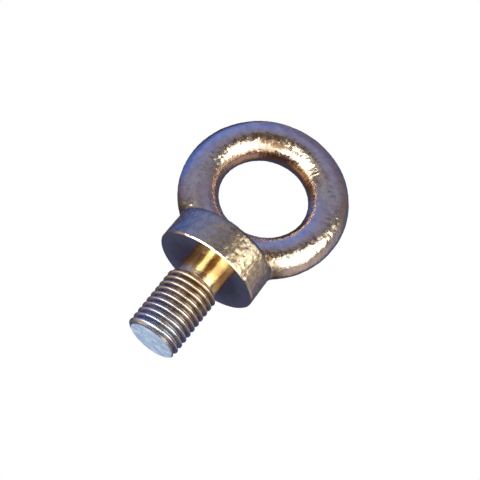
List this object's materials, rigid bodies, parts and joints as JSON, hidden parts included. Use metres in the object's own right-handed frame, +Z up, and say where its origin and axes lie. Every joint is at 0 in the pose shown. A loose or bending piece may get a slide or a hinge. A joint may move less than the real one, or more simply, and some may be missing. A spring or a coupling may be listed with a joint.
{
  "type": "collar eye bolt",
  "caption": "Collar eye bolt: round forged ring on a thick round collar, turned neck and coarse-threaded shank, for lifting by a hook or shackle.",
  "frame": {"origin": "centre of the seat, the flat machined underside of the collar", "axes": "+Z up through the middle of the eye; the shank points along -Z; the ring lies in the XZ plane, so the axis of its hole is Y"},
  "size_m": [0.0644, 0.0402, 0.1025],
  "materials": {
    "forged_ring": "forged skin, zinc plated, yellow passivated",
    "forged_collar": "forged side, machined seat, zinc plated, yellow passivated",
    "turned_neck": "turned smooth, zinc plated, yellow passivated",
    "cut_thread": "cut thread, zinc plated, yellow passivated"
  },
  "bodies": {
    "root": {"eye_ring": "forged_ring", "collar": "forged_collar", "undercut_neck": "turned_neck", "threaded_shank": "cut_thread"}
  },
  "joints": []
}
